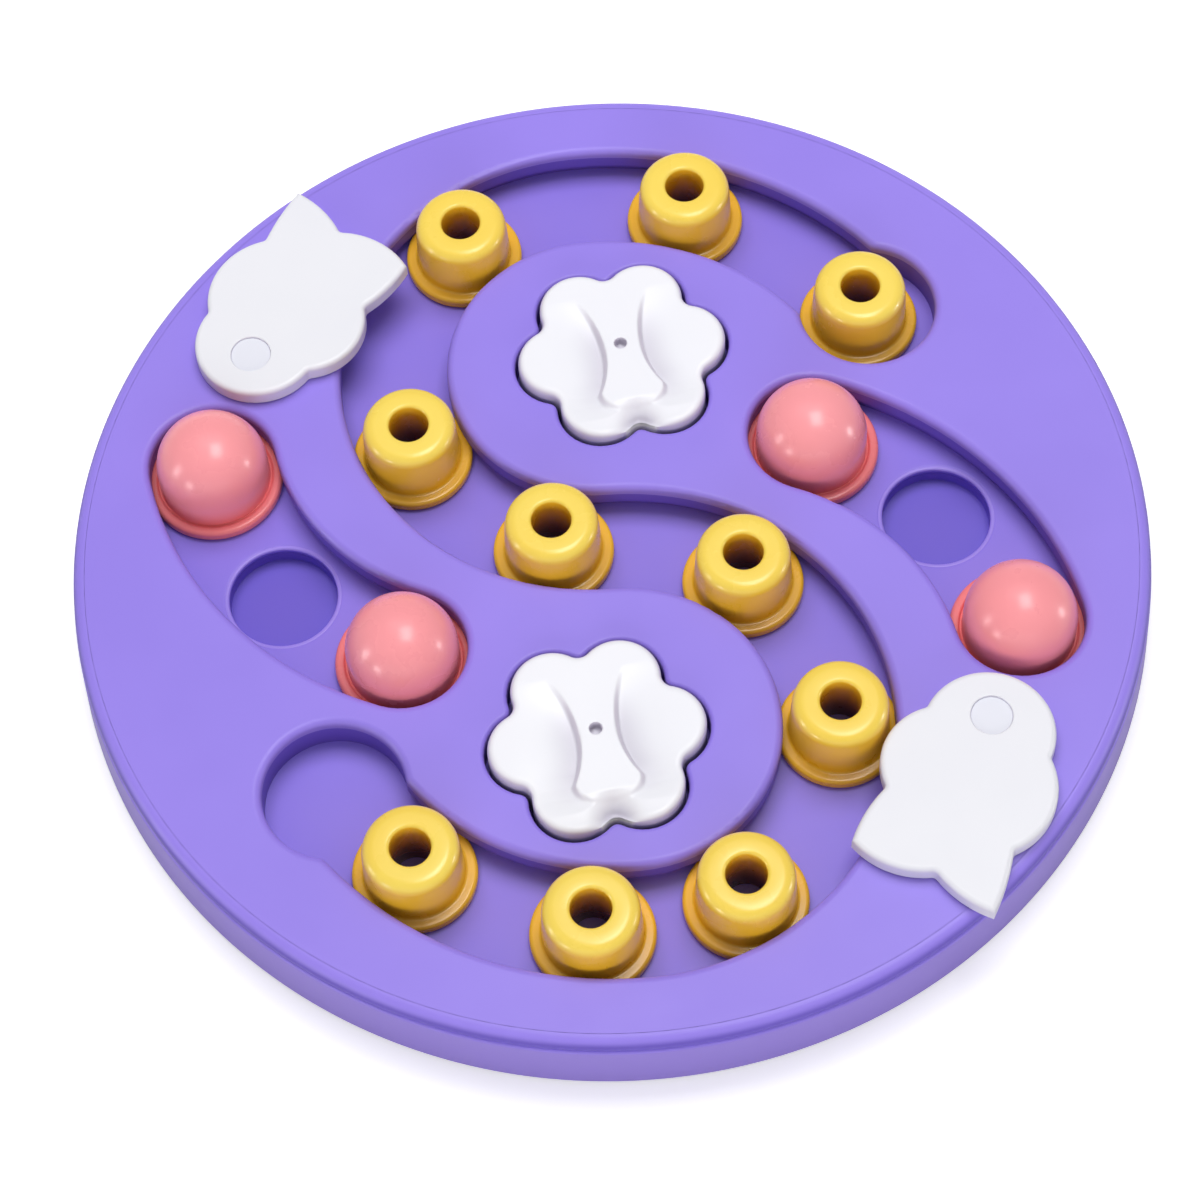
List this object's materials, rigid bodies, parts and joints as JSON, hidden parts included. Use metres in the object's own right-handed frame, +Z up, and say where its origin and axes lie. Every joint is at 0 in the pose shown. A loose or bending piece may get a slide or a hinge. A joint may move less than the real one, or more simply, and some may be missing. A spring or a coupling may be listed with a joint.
{
  "type": "dog puzzle feeder toy",
  "caption": "Round sliding puzzle tray that hides kibble under domes, hats, flower lids and swinging fish covers, with an S slot and cups.",
  "frame": {"origin": "middle of the tray, on the ground under its rubber feet", "axes": "+Z up; +Y away from the person who looks at the toy as in its picture, +X to their right"},
  "size_m": [0.2626, 0.2626, 0.0333],
  "materials": {
    "lilac": "satin moulded plastic",
    "yellow": "satin moulded plastic",
    "coral": "glossy moulded plastic",
    "white": "satin moulded plastic",
    "steel": "plain zinc-plated screw",
    "rubber": "matte"
  },
  "bodies": {
    "tray": {"tray_deck": "lilac", "tray_skirt": "lilac", "hat_slot_walls": "lilac", "dome_slot_walls": "lilac", "pocket_walls": "lilac", "screw_bosses": "lilac", "base_pan": "lilac", "case_screws": "steel", "rubber_feet": "rubber", "pivot_screw_left": "steel", "pivot_screw_right": "steel"},
    "hat_1": {"hat_1": "yellow"},
    "hat_2": {"hat_2": "yellow"},
    "hat_3": {"hat_3": "yellow"},
    "hat_4": {"hat_4": "yellow"},
    "hat_5": {"hat_5": "yellow"},
    "hat_6": {"hat_6": "yellow"},
    "hat_7": {"hat_7": "yellow"},
    "hat_8": {"hat_8": "yellow"},
    "hat_9": {"hat_9": "yellow"},
    "hat_10": {"hat_10": "yellow"},
    "dome_1": {"dome_1": "coral"},
    "dome_2": {"dome_2": "coral"},
    "dome_3": {"dome_3": "coral"},
    "dome_4": {"dome_4": "coral"},
    "flower_lid_upper": {"flower_lid_upper": "white"},
    "flower_lid_lower": {"flower_lid_lower": "white"},
    "fish_cover_left": {"fish_cover_left": "white", "pivot_cap_left": "white"},
    "fish_cover_right": {"fish_cover_right": "white", "pivot_cap_right": "white"}
  },
  "joints": [
    {"name": "hat_1_slide", "type": "hinge", "parent": "tray", "child": "hat_1", "pos_m": [0, 0.023, 0.0112], "axis": [0, 0, 1], "range_deg": [-1.8, 18]},
    {"name": "hat_2_slide", "type": "hinge", "parent": "tray", "child": "hat_2", "pos_m": [0, 0.023, 0.0112], "axis": [0, 0, 1], "range_deg": [-18, 20.7]},
    {"name": "hat_3_slide", "type": "hinge", "parent": "tray", "child": "hat_3", "pos_m": [-0.001, 0.05, 0.0112], "axis": [0, 0, 1], "range_deg": [-34.2, 5.8]},
    {"name": "hat_4_slide", "type": "hinge", "parent": "tray", "child": "hat_4", "pos_m": [-0.001, 0.05, 0.0112], "axis": [0, 0, 1], "range_deg": [-21, 17.9]},
    {"name": "hat_5_slide", "type": "hinge", "parent": "tray", "child": "hat_5", "pos_m": [-0.001, 0.05, 0.0112], "axis": [0, 0, 1], "range_deg": [-17.9, 15.9]},
    {"name": "hat_6_slide", "type": "hinge", "parent": "tray", "child": "hat_6", "pos_m": [0.001, -0.05, 0.0112], "axis": [0, 0, -1], "range_deg": [-20.3, 19.4]},
    {"name": "hat_7_slide", "type": "hinge", "parent": "tray", "child": "hat_7", "pos_m": [0.001, -0.05, 0.0112], "axis": [0, 0, -1], "range_deg": [-19.4, 1.9]},
    {"name": "hat_8_slide", "type": "hinge", "parent": "tray", "child": "hat_8", "pos_m": [0.001, -0.05, 0.0112], "axis": [0, 0, -1], "range_deg": [-19.4, 7.6]},
    {"name": "hat_9_slide", "type": "hinge", "parent": "tray", "child": "hat_9", "pos_m": [0, -0.023, 0.0112], "axis": [0, 0, -1], "range_deg": [-4.9, 10.9]},
    {"name": "hat_10_slide", "type": "hinge", "parent": "tray", "child": "hat_10", "pos_m": [0, -0.023, 0.0112], "axis": [0, 0, -1], "range_deg": [-10.9, 19.4]},
    {"name": "dome_1_slide", "type": "hinge", "parent": "tray", "child": "dome_1", "pos_m": [-0.0245, 0.04195, 0.0112], "axis": [0, 0, 1], "range_deg": [0, 29.4]},
    {"name": "dome_2_slide", "type": "hinge", "parent": "tray", "child": "dome_2", "pos_m": [-0.0245, 0.04195, 0.0112], "axis": [0, 0, 1], "range_deg": [-28.2, 0]},
    {"name": "dome_3_slide", "type": "hinge", "parent": "tray", "child": "dome_3", "pos_m": [0.0245, -0.04195, 0.0112], "axis": [0, 0, 1], "range_deg": [0, 29.4]},
    {"name": "dome_4_slide", "type": "hinge", "parent": "tray", "child": "dome_4", "pos_m": [0.0245, -0.04195, 0.0112], "axis": [0, 0, 1], "range_deg": [-28.2, 0]},
    {"name": "flower_lid_upper_lift", "type": "slide", "parent": "tray", "child": "flower_lid_upper", "axis": [0, 0, 1], "range_m": [0, 0.03]},
    {"name": "flower_lid_lower_lift", "type": "slide", "parent": "tray", "child": "flower_lid_lower", "axis": [0, 0, 1], "range_m": [0, 0.03]},
    {"name": "fish_cover_left_swing", "type": "hinge", "parent": "tray", "child": "fish_cover_left", "pos_m": [-0.08587, 0.05597, 0.021], "axis": [0, 0, 1], "range_deg": [0, 90]},
    {"name": "fish_cover_right_swing", "type": "hinge", "parent": "tray", "child": "fish_cover_right", "pos_m": [0.08587, -0.05597, 0.021], "axis": [0, 0, 1], "range_deg": [0, 85]}
  ]
}
